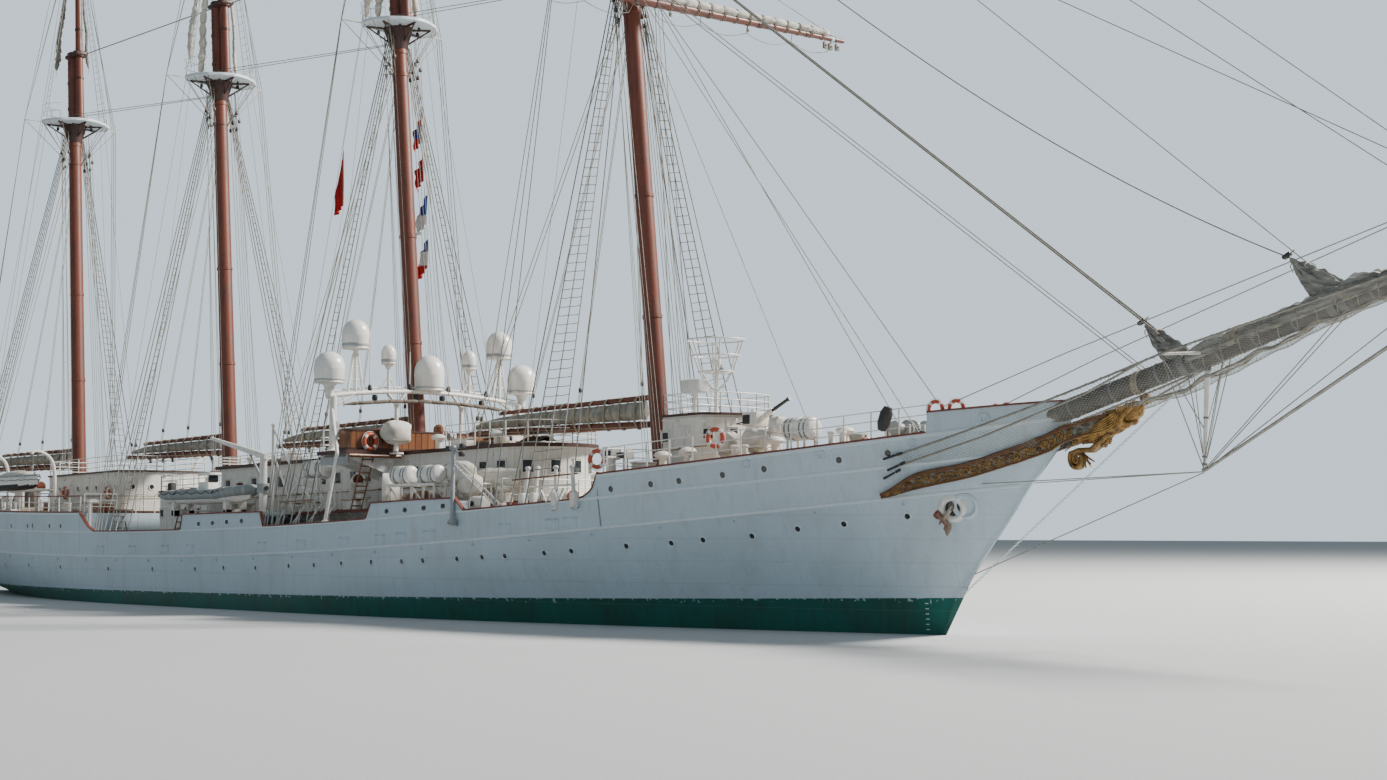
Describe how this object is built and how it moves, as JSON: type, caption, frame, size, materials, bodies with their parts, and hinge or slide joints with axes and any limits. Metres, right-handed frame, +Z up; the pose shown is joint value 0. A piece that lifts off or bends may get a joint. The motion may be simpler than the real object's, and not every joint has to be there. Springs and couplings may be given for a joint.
{
  "type": "scale model of a four-masted training ship at 1:10",
  "caption": "Decked steel sailing ship at 1:10 with raked masts, booms, square yards on the foremast, a long bowsprit, deckhouses, boats, a domed antenna gantry, rudder and propeller.",
  "frame": {"origin": "amidships on the centreline, at the height of the water the ship floats in", "axes": "+X towards the bow, +Y to port, +Z up"},
  "size_m": [11.3089, 2.4325, 5.5391],
  "materials": {
    "hull_white": "semi-gloss paint",
    "house_white": "semi-gloss paint",
    "mast_brown": "satin paint",
    "varnish": "varnished",
    "teak": "bare, weathered",
    "canvas": "weathered canvas",
    "gilding": "gilded and weathered",
    "boat_rubber": "matt",
    "raft_shell": "gloss",
    "dome_shell": "satin",
    "gun_grey": "painted",
    "anchor_steel": "weathered",
    "stay_steel": "wire rope",
    "bronze": "cast"
  },
  "bodies": {
    "ship": {"hull": "hull_white", "poop": "hull_white", "forecastle": "hull_white", "bulwark_starboard": "hull_white", "bulwark_port": "hull_white", "lower_deckhouse": "house_white", "boat_deck": "teak", "upper_deckhouse": "house_white", "bridge_deck": "teak", "bridge_screen_starboard": "varnish", "bridge_screen_port": "varnish", "mizzen_deckhouse": "house_white", "poop_deckhouse": "house_white", "forecastle_deckhouse": "house_white", "antenna_gantry": "dome_shell", "radar_mast": "house_white", "saluting_gun": "gun_grey", "liferafts_starboard": "raft_shell", "liferafts_port": "raft_shell", "rescue_boat": "boat_rubber", "dinghy_starboard": "canvas", "dinghy_port": "canvas", "launch_starboard": "raft_shell", "launch_port": "raft_shell", "davits_starboard": "house_white", "davits_port": "house_white", "bowsprit": "mast_brown", "furled_headsails": "canvas", "figurehead": "gilding", "anchor_starboard": "anchor_steel", "anchor_port": "anchor_steel", "fore_mast": "mast_brown", "fore_topmast": "mast_brown", "main_mast": "mast_brown", "main_topmast": "mast_brown", "mizzen_mast": "mast_brown", "mizzen_topmast": "mast_brown", "jigger_mast": "mast_brown", "jigger_topmast": "mast_brown", "fore_stay": "stay_steel", "bobstay": "stay_steel"},
    "rudder": {"rudder": "hull_white"},
    "propeller": {"propeller": "bronze"},
    "boat_crane": {"boat_crane": "house_white"},
    "fore_boom": {"fore_boom": "mast_brown", "fore_gaff": "mast_brown", "fore_sail_furled": "canvas"},
    "main_boom": {"main_boom": "mast_brown", "main_gaff": "mast_brown", "main_sail_furled": "canvas"},
    "mizzen_boom": {"mizzen_boom": "mast_brown", "mizzen_gaff": "mast_brown", "mizzen_sail_furled": "canvas"},
    "jigger_boom": {"jigger_boom": "mast_brown", "jigger_gaff": "mast_brown", "jigger_sail_furled": "canvas"},
    "fore_yard": {"fore_yard": "mast_brown"},
    "lower_topsail_yard": {"lower_topsail_yard": "mast_brown"},
    "upper_topsail_yard": {"upper_topsail_yard": "mast_brown"},
    "topgallant_yard": {"topgallant_yard": "mast_brown"}
  },
  "joints": [
    {"name": "rudder_turn", "type": "hinge", "parent": "ship", "child": "rudder", "pos_m": [-3.72, 0, -0.4], "axis": [0, 0, 1], "range_deg": [-35, 35]},
    {"name": "propeller_spin", "type": "hinge", "parent": "ship", "child": "propeller", "pos_m": [-3.53, 0, -0.39], "axis": [1, 0, 0], "continuous": true},
    {"name": "boat_crane_swing", "type": "hinge", "parent": "ship", "child": "boat_crane", "pos_m": [-0.02, -0.545, 0.6], "axis": [0, 0, 1], "range_deg": [0, 100]},
    {"name": "fore_boom_swing", "type": "hinge", "parent": "ship", "child": "fore_boom", "pos_m": [2.3427, 0, 0.87], "axis": [-0.1005, 0, 0.9949], "range_deg": [-40, 40]},
    {"name": "main_boom_swing", "type": "hinge", "parent": "ship", "child": "main_boom", "pos_m": [0.5451, 0, 0.862], "axis": [-0.0946, 0, 0.9955], "range_deg": [-22, 22]},
    {"name": "mizzen_boom_swing", "type": "hinge", "parent": "ship", "child": "mizzen_boom", "pos_m": [-1.2497, 0, 0.843], "axis": [-0.0807, 0, 0.9967], "range_deg": [-30, 30]},
    {"name": "jigger_boom_swing", "type": "hinge", "parent": "ship", "child": "jigger_boom", "pos_m": [-3.0448, 0, 0.806], "axis": [-0.0718, 0, 0.9974], "range_deg": [-35, 35]},
    {"name": "fore_yard_brace", "type": "hinge", "parent": "ship", "child": "fore_yard", "pos_m": [2.1493, 0, 2.785], "axis": [-0.1005, 0, 0.9949], "range_deg": [-25, 35]},
    {"name": "lower_topsail_yard_brace", "type": "hinge", "parent": "ship", "child": "lower_topsail_yard", "pos_m": [2.145, 0, 3.56], "axis": [-0.1005, 0, 0.9949], "range_deg": [-25, 35]},
    {"name": "upper_topsail_yard_brace", "type": "hinge", "parent": "ship", "child": "upper_topsail_yard", "pos_m": [2.1269, 0, 3.74], "axis": [-0.1005, 0, 0.9949], "range_deg": [-25, 35]},
    {"name": "topgallant_yard_brace", "type": "hinge", "parent": "ship", "child": "topgallant_yard", "pos_m": [2.0844, 0, 4.16], "axis": [-0.1005, 0, 0.9949], "range_deg": [-25, 35]}
  ]
}
